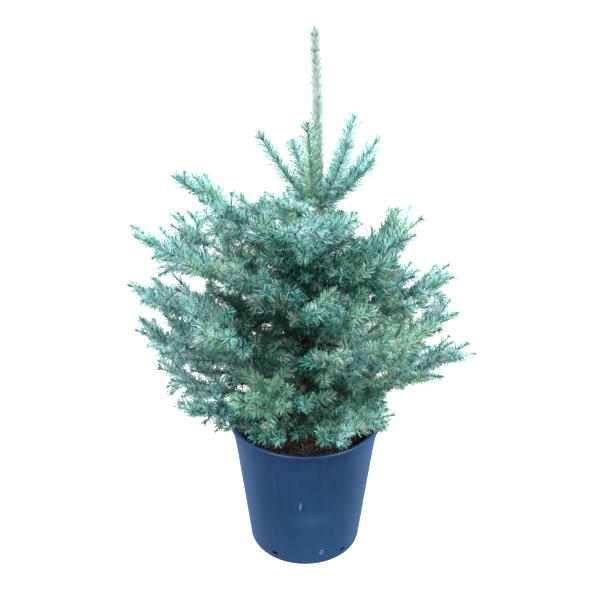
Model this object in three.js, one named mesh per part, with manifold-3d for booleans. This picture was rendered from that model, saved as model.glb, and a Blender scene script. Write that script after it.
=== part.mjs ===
// A young blue spruce in a round nursery pot, in millimetres, +Z up.
// The origin is the centre of the pot's flat underside. +X is to the right of the front, and -Y faces the front.
// The plant stands in its own group, whose origin is the middle of the soil's surface.
// Boughs leave the trunk in whorls. Each ends in a mass of foliage: needle-clad shoots that branch from one stem.
import * as THREE from "three";
import { mergeVertices } from "three/addons/utils/BufferGeometryUtils.js";
import Module from "manifold-3d";

const wasm = await Module();
wasm.setup();

// ---- Driving dimensions, in millimetres and degrees
const CLEARANCE = 0.3; // between neighbouring solids
const POT = {
  height: 280,
  rimRadius: 152,
  lipDepth: 9,
  collarRadius: 146,
  collarDepth: 30,
  wallRadius: 142, // just under the collar
  baseRadius: 114,
  baseCorner: 5,
  wall: 3,
  floor: 4,
  sides: 36,
};
const DRAIN = { count: 5, firstAngle: 311, width: 12, height: 9, above: 15 };
const SOIL = { level: 245, dome: 5 };
const TRUNK = {
  height: 745, // above the soil, to the tip of the leader
  footRadius: 11,
  tipRadius: 2.2,
  flare: 5, // extra radius at the soil
  flareFade: 18,
  footOffset: -6, // along X, from the pot's axis
  lean: 81,
  recover: 62, // how much of the lean the upper part takes back
  rings: 11,
  sides: 12,
};
const LIMB = {
  share: 0.38, // of a bough's length, bare up to its foliage
  sag: 0.1, // of a bough's reach
  radius: 2.4,
  radiusPerReach: 0.009,
  endRadius: 2.9,
  segments: 4,
  sides: 6,
};
const NEEDLE = {
  length: 28,
  lean: 44, // from the shoot's axis
  jitter: 6,
  shortest: 0.82, // of the length
  least: 9, // a needle with less room than this is left out
  margin: 2.5, // between the needles of neighbouring masses
};
const SHOOT = {
  radius: 3,
  tipRadius: 1.6,
  step: 13.2, // along the shoot, from one corner of its core to the next
  topStep: 6.4, // the same for the top whorl
  bareFoot: 13,
  room: 11, // kept clear round the middle of each shoot
  shortest: 50,
  rise: 0.07, // how much a side shoot turns up, as a share of its length
};
const SIDE_SHOOT = {
  spacing: 66, // of reach for each side shoot
  most: 5,
  first: 0.42, // the share of the bough at which the first leaves
  last: 0.8,
  perRemainder: 0.5, // its length, as a share of what is left of the bough
  leastLength: 30,
  mostExtra: 14,
  leastAngle: 36,
  mostAngle: 50,
  lift: 0.2,
};
const LEADER = {
  from: 474, // above the soil
  to: 728,
  wall: 1.3,
  needleLength: 15,
  needleLean: 24,
  sides: 6,
  step: 5,
};
// The whorls, from the top down, then the short boughs between them.
// A bough is [azimuth, reach, rise, bare limb or not, how far below its whorl it leaves the trunk].
// Azimuth counts from +X towards +Y. Reach is from the trunk's middle to the tip, and rise is the tip's slope.
const WHORLS = [
  {
    name: "top",
    height: 455,
    spread: 6,
    boughs: [
      [12, 150, 46],
      [61, 198, 45],
      [128, 122, 54],
      [175, 158, 51],
      [238, 153, 77],
      [318, 128, 60],
      [340, 130, 42],
    ],
  },
  {
    name: "upper",
    height: 382,
    spread: 40,
    boughs: [
      [6, 222, 31, false, 80],
      [74, 165, 8],
      [137, 225, -3],
      [172, 280, 25.5, true],
      [250, 205, 33],
      [278, 138, 24],
    ],
  },
  {
    name: "shoulder",
    height: 280,
    spread: 14,
    boughs: [
      [8, 200, 12],
      [48, 215, 4],
      [98, 225, 8],
      [154, 335, 21.5],
      [186, 355, 26.5, true],
      [262, 235, 13],
      [312, 205, 35],
    ],
  },
  {
    name: "middle",
    height: 200,
    spread: 14,
    boughs: [
      [5, 285, 28, true],
      [50, 250, 6],
      [112, 255, 8],
      [192, 350, 22, true],
      [230, 295, 23],
      [282, 235, 33],
      [322, 235, 15],
    ],
  },
  {
    name: "lower",
    height: 125,
    spread: 14,
    boughs: [
      [355, 302, 26],
      [78, 245, 6],
      [148, 285, 4],
      [195, 338, 22],
      [248, 240, 14],
      [288, 215, 32],
      [335, 240, 26],
    ],
  },
  {
    name: "skirt",
    height: 62,
    spread: 13,
    boughs: [
      [75, 215, 8],
      [14, 168, 12],
      [125, 235, 6],
      [180, 292, 14.5],
      [208, 262, 16.5],
      [234, 200, 45, true, 36],
      [290, 186, 10],
      [313, 182, 6],
      [356, 332, 24, true],
      [246, 178, 8],
    ],
  },
  {
    name: "neck",
    height: 428,
    spread: 8,
    boughs: [
      [152, 160, 1],
      [40, 58, 10],
      [248, 112, 22],
    ],
  },
  {
    name: "inner",
    height: 283,
    spread: 80,
    boughs: [
      [212, 150, 16],
      [160, 205, -4],
      [30, 150, 10],
    ],
  },
];

// ---- Materials
const material = (color, roughness) => new THREE.MeshStandardMaterial({ color, roughness, metalness: 0 });
const POT_PLASTIC = material("#274d78", 0.42);
const POTTING_SOIL = material("#2b221f", 0.95);
const BARK = material("#7d6a5a", 0.88);
const NEEDLES = material("#7fb0a6", 0.6);
const LEADER_NEEDLES = material("#a9c4b8", 0.6);

// ---- Small helpers
const UP = new THREE.Vector3(0, 0, 1);
const radians = THREE.MathUtils.degToRad;
const lerp = THREE.MathUtils.lerp;
const point = (...xyz) => new THREE.Vector3(...xyz);

// Neighbours in a whorl leave the trunk at heights that this share keeps apart.
const GOLDEN = 0.618;

// A seeded stream of numbers between two limits.
function stream(seed) {
  let state = seed;
  return (low, high) => {
    state = (state * 16807) % 2147483647;
    return low + ((high - low) * state) / 2147483647;
  };
}

// A closed solid from corners and triangles that face out.
function solidOf(corners, triangles) {
  const vertProperties = new Float32Array(corners.flatMap((c) => [c.x, c.y, c.z]));
  return new wasm.Manifold(new wasm.Mesh({ numProp: 3, vertProperties, triVerts: Uint32Array.from(triangles.flat()) }));
}

// A closed solid from a three.js geometry.
function solidFrom(geometry) {
  const bare = geometry.clone();
  bare.deleteAttribute("normal");
  bare.deleteAttribute("uv");
  const merged = mergeVertices(bare, 1e-4);
  const { array } = merged.getAttribute("position");
  const corners = [];
  for (let i = 0; i < array.length; i += 3) corners.push(point(array[i], array[i + 1], array[i + 2]));
  const triangles = [];
  for (let i = 0; i < merged.index.count; i += 3) {
    const [a, b, c] = [0, 1, 2].map((k) => merged.index.getX(i + k));
    if (a !== b && b !== c && c !== a) triangles.push([a, b, c]);
  }
  return solidOf(corners, triangles);
}

function geometryOf(solid) {
  const { vertProperties, triVerts } = solid.getMesh();
  const geometry = new THREE.BufferGeometry();
  geometry.setAttribute("position", new THREE.BufferAttribute(vertProperties, 3));
  geometry.setIndex(new THREE.BufferAttribute(triVerts, 1));
  const faceted = geometry.toNonIndexed();
  faceted.computeVertexNormals();
  return faceted;
}

function addNode(group, name, solid, surface) {
  const mesh = new THREE.Mesh(geometryOf(solid), surface);
  mesh.name = name;
  group.add(mesh);
}

// A round limb through rings of corners. ringAt(share) gives the ring's centre, its two axes and its radius.
function limbSolid(ringAt, rings, sides) {
  const corners = [];
  const triangles = [];
  for (let k = 0; k <= rings; k++) {
    const { centre, across, over, radius } = ringAt(k / rings);
    for (let j = 0; j < sides; j++) {
      const angle = (2 * Math.PI * j) / sides;
      const corner = centre.clone().addScaledVector(across, radius * Math.cos(angle));
      corners.push(corner.addScaledVector(over, radius * Math.sin(angle)));
    }
  }
  for (let k = 0; k < rings; k++)
    for (let j = 0; j < sides; j++) {
      const [a, b] = [k * sides + j, k * sides + ((j + 1) % sides)];
      triangles.push([a, b, b + sides], [a, b + sides, a + sides]);
    }
  const last = rings * sides;
  for (let j = 1; j < sides - 1; j++) triangles.push([0, j + 1, j], [last, last + j, last + j + 1]);
  return solidOf(corners, triangles);
}

// Two axes square to a direction, which turn right-handed about it.
function axesAbout(direction) {
  const reference = Math.abs(direction.z) > 0.96 ? point(1, 0, 0) : UP;
  const across = reference.clone().cross(direction).normalize();
  return { across, over: direction.clone().cross(across).normalize() };
}

// ---- The pot and its soil
function potSolid() {
  const { height, rimRadius, lipDepth, collarRadius, collarDepth, wallRadius, baseRadius, wall, floor } = POT;
  const profile = [
    [0, 0],
    [baseRadius - POT.baseCorner, 0],
    [baseRadius, POT.baseCorner],
    [wallRadius, height - collarDepth - 5],
    [collarRadius, height - collarDepth],
    [collarRadius, height - lipDepth - 2],
    [rimRadius, height - lipDepth],
    [rimRadius, height - 2],
    [rimRadius - 3, height],
    [collarRadius - wall, height],
    [wallRadius - wall, height - collarDepth],
    [baseRadius - wall, floor],
    [0, floor],
  ].map(([r, z]) => new THREE.Vector2(r, z));
  const turned = new THREE.LatheGeometry(profile, POT.sides);
  turned.rotateX(Math.PI / 2); // the lathe turns about Y
  let pot = solidFrom(turned);
  for (let k = 0; k < DRAIN.count; k++) {
    const angle = radians(DRAIN.firstAngle + (360 * k) / DRAIN.count);
    const hole = new THREE.BoxGeometry(6 * wall, DRAIN.width, DRAIN.height);
    hole.translate(baseRadius, 0, DRAIN.above);
    hole.rotateZ(angle);
    pot = pot.subtract(solidFrom(hole));
  }
  return pot;
}

// The inner radius of the pot's wall at a height above its floor.
function innerRadius(z) {
  const { height, collarDepth, wallRadius, baseRadius, wall, floor } = POT;
  return lerp(baseRadius, wallRadius, (z - floor) / (height - collarDepth - floor)) - wall;
}

function soilSolid() {
  const low = POT.floor + CLEARANCE;
  const edge = SOIL.level - SOIL.dome;
  const roundness = Math.cos(Math.PI / POT.sides); // the wall's flats stand inside its corners
  const profile = [
    [0, low],
    [(innerRadius(low) - 1) * roundness, low],
    [(innerRadius(edge) - 1) * roundness, edge],
    [innerRadius(edge) * 0.6, SOIL.level - 1],
    [0, SOIL.level - 0.5],
  ].map(([r, z]) => new THREE.Vector2(r, z));
  const turned = new THREE.LatheGeometry(profile, POT.sides);
  turned.rotateX(Math.PI / 2);
  return solidFrom(turned);
}

// ---- The trunk, in the plant's frame
function trunkAt(height) {
  const share = height / TRUNK.height;
  return point(TRUNK.footOffset + TRUNK.lean * share - TRUNK.recover * share * share, 0, height);
}

function trunkTangent(height) {
  return trunkAt(height + 1).sub(trunkAt(height - 1)).normalize();
}

function trunkRadius(height) {
  const taper = lerp(TRUNK.footRadius, TRUNK.tipRadius, height / TRUNK.height);
  return taper + TRUNK.flare * Math.exp(-height / TRUNK.flareFade);
}

// The trunk from one height to another, grown by a margin. Its rings crowd towards the flare at the foot.
function trunkSolid(from, to, margin) {
  const ringAt = (share) => {
    const height = lerp(from, to, share ** 1.4);
    return {
      centre: trunkAt(height),
      across: point(1, 0, 0),
      over: point(0, 1, 0),
      radius: trunkRadius(height) + margin,
    };
  };
  return limbSolid(ringAt, TRUNK.rings, TRUNK.sides);
}

// ---- Room
// Points along a curve, near enough together to test its room.
function pointsAlong(curve, from, to) {
  const count = Math.max(3, Math.floor(curve.getPoint(from).distanceTo(curve.getPoint(to)) / 8));
  return Array.from({ length: count + 1 }, (_, k) => curve.getPoint(lerp(from, to, k / count)));
}

// Everything that has been given room so far: points, each with its owner and the thickness round it.
const taken = [];
const claim = (owner, points, thick) => points.forEach((at) => taken.push({ owner, at, thick }));

// Whether a point is too near the pot's rim, or inside the pot.
function inPot(at, reach) {
  return Math.hypot(at.x, at.y) < POT.rimRadius + reach && at.z < POT.height - SOIL.level + reach;
}

function hasRoom(owner, points) {
  return points.every((at) => {
    if (inPot(at, SHOOT.room)) return false;
    return taken.every((other) => other.owner === owner || other.at.distanceTo(at) > SHOOT.room + other.thick);
  });
}

// A needle keeps to its own side of the space between its shoot and those of other masses.
function roomFor(owner, foot, heading, wanted) {
  for (let length = wanted; length >= NEEDLE.least; length *= 0.85) {
    const clear = [0.55, 1].every((share) => {
      const at = foot.clone().addScaledVector(heading, length * share);
      if (inPot(at, NEEDLE.margin)) return false;
      const own = length * share * Math.sin(radians(NEEDLE.lean)) + SHOOT.radius;
      return taken.every(
        (other) => other.owner === owner || other.at.distanceTo(at) > Math.max(own, other.thick / 2) + NEEDLE.margin,
      );
    });
    if (clear) return length;
  }
  return 0;
}

// ---- Shoots
// A core that winds up a curve, one corner at a time, with a needle drawn out of each face past its bare foot.
// It covers the curve from one share of it to another.
function shootSolid(curve, share, owner, draw, form) {
  const chord = curve.getPoint(share[1]).sub(curve.getPoint(share[0]));
  const steps = Math.max(2 * form.sides, Math.round(chord.length() / form.step) + form.sides - 1);
  const rise = (i) => Math.max(0, i - form.sides + 1) / (steps - form.sides + 1); // the first turn is flat
  const at = (i) => lerp(share[0], share[1], rise(i));
  const flat = axesAbout(form.against ?? curve.getTangent(at(0)));
  const wound = axesAbout(chord.clone().normalize());
  const corners = [];
  const triangles = [];
  for (let i = 0; i <= steps; i++) {
    const angle = (2 * Math.PI * i) / form.sides;
    const radius = form.radiusAt(rise(i));
    const { across, over } = rise(i) === 0 ? flat : wound;
    const corner = curve.getPoint(at(i)).addScaledVector(across, radius * Math.cos(angle));
    corners.push(corner.addScaledVector(over, radius * Math.sin(angle)));
  }
  const needle = (a, b, c) => {
    const middle = (a + b + c) / 3;
    const foot = corners[a].clone().add(corners[b]).add(corners[c]).divideScalar(3);
    const tangent = curve.getTangent(at(middle));
    const out = foot.clone().sub(curve.getPoint(at(middle))).projectOnPlane(tangent).normalize();
    const lean = radians(form.lean + draw(-NEEDLE.jitter, NEEDLE.jitter));
    const heading = out.multiplyScalar(Math.sin(lean)).addScaledVector(tangent, Math.cos(lean));
    const length = roomFor(owner, foot, heading, form.needleLength * draw(NEEDLE.shortest, 1));
    if (length < NEEDLE.least) return triangles.push([a, b, c]);
    corners.push(foot.addScaledVector(heading, length));
    const apex = corners.length - 1;
    return triangles.push([a, b, apex], [b, c, apex], [c, a, apex]);
  };
  const face = (a, b, c) => {
    const along = rise(Math.min(a, b, c)) * chord.length();
    if (along >= form.bareFoot) needle(a, b, c);
    else triangles.push([a, b, c]);
  };
  const { sides } = form;
  for (let i = 0; i + sides + 1 <= steps; i++) {
    face(i, i + 1, i + sides);
    face(i + 1, i + sides + 1, i + sides);
  }
  for (let j = 1; j < sides; j++) triangles.push([0, j + 1, j]);
  const bud = corners.length;
  corners.push(curve.getPoint(at(steps)).addScaledVector(curve.getTangent(at(steps)), form.bud));
  const top = steps - sides;
  for (let j = 0; j < sides; j++) triangles.push([top + j, top + j + 1, bud]);
  triangles.push([steps, top, bud]);
  return solidOf(corners, triangles);
}

const TWIG_FORM = {
  sides: 3,
  step: SHOOT.step,
  bareFoot: SHOOT.bareFoot,
  needleLength: NEEDLE.length,
  lean: NEEDLE.lean,
  bud: 9,
  radiusAt: (share) => lerp(SHOOT.radius, SHOOT.tipRadius, share),
};

// ---- Boughs
// What a bough is grown from: its curve, where its foliage starts and its own stream of numbers.
function planBough(whorl, row, place, order) {
  const [azimuth, reach, rise, hasLimb = false, drop = 0] = row;
  const draw = stream(7700017 * order);
  const height = whorl.height - drop + whorl.spread * (2 * ((GOLDEN * (place + 1)) % 1) - 1);
  const level = point(Math.cos(radians(azimuth)), Math.sin(radians(azimuth)), 0);
  const out = level.clone().projectOnPlane(trunkTangent(height)).normalize();
  const slope = Math.sin(radians(rise));
  const root = trunkAt(height).addScaledVector(out, trunkRadius(height) + CLEARANCE);
  const tip = trunkAt(height).addScaledVector(level, reach * Math.cos(radians(rise)));
  tip.addScaledVector(UP, reach * slope);
  const middle = root.clone().add(tip).divideScalar(2).addScaledVector(UP, -LIMB.sag * reach);
  return {
    whorl,
    reach,
    hasLimb,
    draw,
    order,
    out,
    curve: new THREE.QuadraticBezierCurve3(root, middle, tip),
    leafFrom: hasLimb ? LIMB.share : 0,
    slit: hasLimb ? CLEARANCE / 2 / reach : 0,
    shoots: [],
  };
}

// A side shoot leaves the bough's stem to the left or the right. It is drawn shorter until it has room.
function growSideShoot(bough, share, side) {
  const { draw, curve } = bough;
  const angle = radians(draw(SIDE_SHOOT.leastAngle, SIDE_SHOOT.mostAngle));
  const lift = draw(0, SIDE_SHOOT.lift);
  let length = SIDE_SHOOT.perRemainder * bough.reach * (1 - share) + SIDE_SHOOT.leastLength;
  length += draw(0, SIDE_SHOOT.mostExtra);
  const root = curve.getPoint(share);
  const tangent = curve.getTangent(share);
  const sideways = tangent.clone().cross(UP).normalize().multiplyScalar(side);
  const normal = sideways.clone().cross(tangent).multiplyScalar(side);
  const heading = tangent.clone().multiplyScalar(Math.cos(angle));
  heading.addScaledVector(sideways, Math.sin(angle)).addScaledVector(normal, lift).normalize();
  for (; length >= SHOOT.shortest; length *= 0.85) {
    const tip = root.clone().addScaledVector(heading, length).addScaledVector(UP, SHOOT.rise * length);
    const middle = root.clone().addScaledVector(heading, length / 2);
    const shoot = new THREE.QuadraticBezierCurve3(root, middle, tip);
    const points = pointsAlong(shoot, 0, 1);
    if (!hasRoom(bough.order, points.slice(1))) continue;
    claim(bough.order, points, SHOOT.room);
    bough.shoots.push(shoot);
    return;
  }
}

function growSideShoots(bough) {
  const count = Math.min(SIDE_SHOOT.most, Math.round(bough.reach / SIDE_SHOOT.spacing));
  for (let k = 0; k < count; k++) {
    const share = lerp(SIDE_SHOOT.first, SIDE_SHOOT.last, k / Math.max(1, count - 1));
    growSideShoot(bough, share, (k + bough.order) % 2 ? 1 : -1);
  }
}

// The bare limb. Its first ring lies flat against the trunk and its last is square to the bough.
function limbOf(bough) {
  const ringAt = (share) => {
    const along = share * (bough.leafFrom - bough.slit);
    return {
      centre: bough.curve.getPoint(along),
      ...axesAbout(share === 0 ? bough.out : bough.curve.getTangent(along)),
      radius: lerp(LIMB.radius + LIMB.radiusPerReach * bough.reach, LIMB.endRadius, share),
    };
  };
  return limbSolid(ringAt, LIMB.segments, LIMB.sides);
}

// A bough's foliage: its needle-clad stem and side shoots, fused.
function foliageOf(bough) {
  const isTop = bough.whorl === WHORLS[0];
  const stemForm = { ...TWIG_FORM, step: isTop ? SHOOT.topStep : SHOOT.step };
  if (bough.hasLimb) stemForm.bareFoot = 0;
  else Object.assign(stemForm, { bareFoot: 22, against: bough.out });
  let mass = shootSolid(bough.curve, [bough.leafFrom + bough.slit, 1], bough.order, bough.draw, stemForm);
  for (const shoot of bough.shoots) mass = mass.add(shootSolid(shoot, [0, 1], bough.order, bough.draw, TWIG_FORM));
  return mass;
}

// The needles round the leader: a sleeve on the trunk's uppermost length, open at both ends.
function leaderSolid() {
  const curve = new THREE.CatmullRomCurve3([0, 0.5, 1].map((s) => trunkAt(lerp(LEADER.from, LEADER.to, s))));
  const form = {
    sides: LEADER.sides,
    step: LEADER.step,
    bareFoot: 0,
    needleLength: LEADER.needleLength,
    lean: LEADER.needleLean,
    bud: 1,
    radiusAt: (share) => trunkRadius(lerp(LEADER.from, LEADER.to, share)) + CLEARANCE + LEADER.wall,
  };
  const sleeve = shootSolid(curve, [0, 1], 0, stream(70007), form);
  return sleeve.subtract(trunkSolid(LEADER.from - 20, TRUNK.height, CLEARANCE));
}

// ---- Assembly
const tree = new THREE.Group();
addNode(tree, "pot", potSolid(), POT_PLASTIC);
addNode(tree, "soil", soilSolid(), POTTING_SOIL);

const plant = new THREE.Group();
plant.position.z = SOIL.level;
tree.add(plant);
addNode(plant, "trunk", trunkSolid(0, TRUNK.height, 0), BARK);

let order = 0;
const boughs = WHORLS.flatMap((whorl) =>
  whorl.boughs.map((row, place) => ({ ...planBough(whorl, row, place, ++order), label: place + 1 })),
);
for (let height = 0; height < TRUNK.height; height += 8) claim(0, [trunkAt(height)], trunkRadius(height) * 2);
for (const bough of boughs) {
  claim(bough.order, pointsAlong(bough.curve, 0, bough.leafFrom), LIMB.endRadius * 2);
  claim(bough.order, pointsAlong(bough.curve, bough.leafFrom, 1), SHOOT.room);
}
for (const bough of boughs) if (bough.whorl !== WHORLS[0]) growSideShoots(bough);
addNode(plant, "leader_needles", leaderSolid(), LEADER_NEEDLES);
for (const bough of boughs) {
  if (bough.hasLimb) addNode(plant, `${bough.whorl.name}_bough_${bough.label}`, limbOf(bough), BARK);
  addNode(plant, `${bough.whorl.name}_foliage_${bough.label}`, foliageOf(bough), NEEDLES);
}

export default tree;
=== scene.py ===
import math
from collections import namedtuple
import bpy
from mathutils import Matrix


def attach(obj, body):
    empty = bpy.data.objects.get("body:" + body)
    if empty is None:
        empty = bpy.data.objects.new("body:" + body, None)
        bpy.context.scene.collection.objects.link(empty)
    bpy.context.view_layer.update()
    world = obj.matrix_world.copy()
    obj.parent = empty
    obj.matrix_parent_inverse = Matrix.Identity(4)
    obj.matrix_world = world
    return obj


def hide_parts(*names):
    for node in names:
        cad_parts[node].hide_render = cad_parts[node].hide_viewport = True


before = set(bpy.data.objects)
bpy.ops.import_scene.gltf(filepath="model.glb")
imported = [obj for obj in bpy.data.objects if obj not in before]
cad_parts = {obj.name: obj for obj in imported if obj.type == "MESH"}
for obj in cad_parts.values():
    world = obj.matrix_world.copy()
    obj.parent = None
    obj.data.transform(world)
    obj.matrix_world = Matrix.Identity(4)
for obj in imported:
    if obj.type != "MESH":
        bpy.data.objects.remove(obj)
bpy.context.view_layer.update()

from types import SimpleNamespace as Sizes

import bpy
import numpy as np
from mathutils import Vector, noise

# A young blue spruce in a round nursery pot. Sizes are in millimetres and degrees until a mesh is made.
# The origin is the centre of the pot's underside, +X is to the right of the front and -Y faces the front.
MM = 0.001
UP = np.array([0.0, 0.0, 1.0])
GOLDEN = 0.618  # keeps the roots of neighbours in a whorl at different heights
GOLDEN_ANGLE = math.radians(137.508)

# ---- Sizes that the solids share
SOIL_LEVEL = 245
SOIL_DOME = 5
POT = Sizes(height=280, rim=152, lip=9, collar=146, collar_depth=30, under_collar=142,
            base=114, base_corner=5, wall=3, floor=4)
DRAIN = Sizes(count=5, first_angle=311, width=12, height=9, above=15)
CLEARANCE = 0.3
TRUNK = Sizes(height=745, foot=11, tip=2.2, flare=5, flare_fade=18, offset=-6, lean=81, recover=62)
LIMB = Sizes(share=0.38, sag=0.1, radius=2.4, per_reach=0.009, end=2.9)
SHOOT = Sizes(room=11, shortest=50, shorter=0.85, rise=0.07)
SIDE_SHOOT = Sizes(spacing=66, most=5, first=0.42, last=0.8, per_remainder=0.5, least=30, extra=14,
                   least_angle=36, most_angle=50, lift=0.2)
# The whorls from the top down, then the short boughs between them. Height is above the soil, and spread is
# that of the roots. A bough is azimuth, reach and rise. Two more values are there where its foot is a bare
# limb, or where it leaves the trunk that far below its whorl.
Whorl = namedtuple("Whorl", "name height spread boughs")
WHORLS = [
    Whorl("top", 455, 6, [
        (12, 150, 46), (61, 198, 45), (128, 122, 54), (175, 158, 51), (238, 153, 77), (318, 128, 60),
        (340, 130, 42)]),
    Whorl("upper", 382, 40, [
        (6, 222, 31, False, 80), (74, 165, 8), (137, 225, -3), (172, 280, 25.5, True), (250, 205, 33),
        (278, 138, 24)]),
    Whorl("shoulder", 280, 14, [
        (8, 200, 12), (48, 215, 4), (98, 225, 8), (154, 335, 21.5), (186, 355, 26.5, True), (262, 235, 13),
        (312, 205, 35)]),
    Whorl("middle", 200, 14, [
        (5, 285, 28, True), (50, 250, 6), (112, 255, 8), (192, 350, 22, True), (230, 295, 23),
        (282, 235, 33), (322, 235, 15)]),
    Whorl("lower", 125, 14, [
        (355, 302, 26), (78, 245, 6), (148, 285, 4), (195, 338, 22), (248, 240, 14), (288, 215, 32),
        (335, 240, 26)]),
    Whorl("skirt", 62, 13, [
        (75, 215, 8), (14, 168, 12), (125, 235, 6), (180, 292, 14.5), (208, 262, 16.5),
        (234, 200, 45, True, 36), (290, 186, 10), (313, 182, 6), (356, 332, 24, True), (246, 178, 8)]),
    Whorl("neck", 428, 8, [(152, 160, 1), (40, 58, 10), (248, 112, 22)]),
    Whorl("inner", 283, 80, [(212, 150, 16), (160, 205, -4), (30, 150, 10)]),
]

# ---- Sizes of the finer growth
FINE = Sizes(spacing=24, first=0.08, last=0.7, per_remainder=0.4, least=32, extra=22, most=70, shortest=24,
             shorter=0.8, least_angle=34, most_angle=50, roll=42, lift=0.18, room=6, crowding=0.7,
             past_tip=14)
INNER = Sizes(first=14, last=410, spacing=8, uneven=9, turn=0.3, least=60, extra=66, shorter=0.35,
              least_rise=4, most_rise=34, sag=0.12, sunk=0.9, room=6, crowding=0.45, clear_of_trunk=0.25)
# Longer inner shoots behind the trunk, which close the crown's back
BACK = Sizes(first=60, last=400, count=90, least=100, extra=90, from_angle=15, to_angle=200,
             clear_of_trunk=0.3)
FILLER = Sizes(reach=42, past=10, outward=40, sag=0.08, clear_of_stem=0.3)
# Where along each kind of stem its fine twigs begin, as a share of its length
TWIGS_FROM = Sizes(bough=0.14, side_shoot=0.0, inner=0.2, filler=0.1)
POINT_STEP = 8  # between the points that growth takes
# Each kind of growth has streams of its own, by the order in which its boughs or shoots are planned.
SEED = Sizes(bough=7700017, twigs=5200003, inner=918273645, fillers=60013, tints=3100019, inner_tints=4300037,
             needles=4100)
FIRST_ORDER = Sizes(inner=500, back=600, filler=700)
NEEDLE = Sizes(length=18.5, shortest=0.8, longest=1.06, half_width=0.9, tip=0.4, lean=52, lean_jitter=8,
               turn=0.35, up=0.1, unruly=0.05, per_mm=2.1, closing=11, closed_lean=26, closed_shorter=0.22,
               dusty_end=9)
LEADER = Sizes(start=462, end=742, per_mm=9.0, lean=30, length=16.0)

CAMERA = Sizes(distance=1203.2, height=1014.9, pitch=22.27, yaw=0.49, lens=42.0, sensor=36.0)
PICTURE = 600  # pixels across
FOCAL = CAMERA.lens / CAMERA.sensor * PICTURE
PITCH, YAW = math.radians(CAMERA.pitch), math.radians(CAMERA.yaw)
EYE = np.array([0, -CAMERA.distance, CAMERA.height - SOIL_LEVEL])
# Openings between the boughs as the camera sees them, in pixels: left, top, right, bottom.
# Fine growth keeps out of them.
OPENINGS = [
    (338, 150, 372, 204), (366, 160, 380, 220), (354, 222, 368, 237), (380, 160, 440, 200),
    (402, 196, 411, 216), (416, 196, 440, 212), (412, 228, 440, 250), (398, 250, 436, 260),
    (404, 262, 415, 290), (426, 250, 440, 262), (446, 302, 470, 312), (378, 300, 384, 306),
    (398, 334, 446, 342), (440, 322, 480, 338), (372, 370, 386, 378), (392, 390, 480, 440),
    (410, 380, 480, 396), (436, 374, 480, 390), (186, 150, 206, 172), (206, 160, 240, 186),
    (172, 186, 196, 206), (146, 222, 176, 236), (120, 240, 150, 264), (160, 273, 198, 286),
    (272, 213, 281, 228), (213, 245, 223, 262), (328, 238, 339, 245), (213, 328, 225, 342),
    (250, 328, 259, 336), (130, 350, 152, 364), (168, 375, 208, 385), (164, 410, 184, 425),
    (225, 386, 246, 397), (196, 350, 214, 360), (266, 428, 318, 452), (284, 398, 300, 426),
    (60, 330, 134, 450), (128, 300, 142, 314),
]
# Places in the crown that are closed by a shoot of their own: the pixel, and how far behind the pot's axis.
FILLS = [
    (256, 250, 30), (264, 262, 10), (252, 262, 60), (230, 296, 40), (236, 304, 0), (224, 372, 20),
    (240, 366, 40), (256, 324, 60), (360, 250, 20), (318, 262, -60), (316, 282, -70), (430, 288, 20),
    (440, 296, 0), (424, 300, 40), (162, 342, 0), (150, 346, 30), (184, 268, -10), (166, 267, -10),
    (292, 336, -60), (208, 348, 30), (378, 426, -90), (258, 434, -110), (436, 366, 20), (200, 296, 20),
    (214, 290, 0), (209, 232, 20), (396, 250, 0), (390, 222, 60), (394, 213, 60), (382, 238, 40),
    (447, 278, 20), (298, 199, 20), (182, 370, 20), (197, 371, 0), (173, 385, 0), (188, 394, -20),
    (208, 418, -50), (220, 421, -60), (238, 384, -40),
]


class Stream:
    """A seeded stream of numbers between two limits."""

    def __init__(self, seed):
        self.state = seed

    def __call__(self, low, high):
        self.state = self.state * 16807 % 2147483647
        return low + (high - low) * self.state / 2147483647


def unit(vector):
    return vector / np.linalg.norm(vector)


def on_plane(vector, normal):
    return unit(vector - normal * (vector @ normal))


def level_heading(azimuth):
    return np.array([math.cos(azimuth), math.sin(azimuth), 0.0])


class Curve:
    """A quadratic curve from a root by way of a middle point to a tip."""

    def __init__(self, root, middle, tip):
        self.root, self.middle, self.tip = root, middle, tip

    def at(self, share):
        t = np.asarray(share, float)[..., None]
        return (1 - t) ** 2 * self.root + 2 * t * (1 - t) * self.middle + t ** 2 * self.tip

    def tangent(self, share):
        t = np.asarray(share, float)[..., None]
        run = (1 - t) * (self.middle - self.root) + t * (self.tip - self.middle)
        return run / np.linalg.norm(run, axis=-1, keepdims=True)

    def length(self, start=0.0):
        points = self.at(np.linspace(start, 1, 12))
        return float(np.linalg.norm(np.diff(points, axis=0), axis=1).sum())


def sagging(root, tip, sag):
    return Curve(root, (root + tip) / 2 - UP * sag, tip)


def rising(root, heading, length):
    return Curve(root, root + heading * length / 2, root + heading * length + UP * SHOOT.rise * length)


# ---- The growth rule, in the plant's frame: millimetres from the middle of the soil's surface
def trunk_at(height):
    share = height / TRUNK.height
    return np.array([TRUNK.offset + TRUNK.lean * share - TRUNK.recover * share * share, 0.0, height])


def trunk_radius(height):
    taper = TRUNK.foot + (TRUNK.tip - TRUNK.foot) * height / TRUNK.height
    return taper + TRUNK.flare * math.exp(-height / TRUNK.flare_fade)


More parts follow.
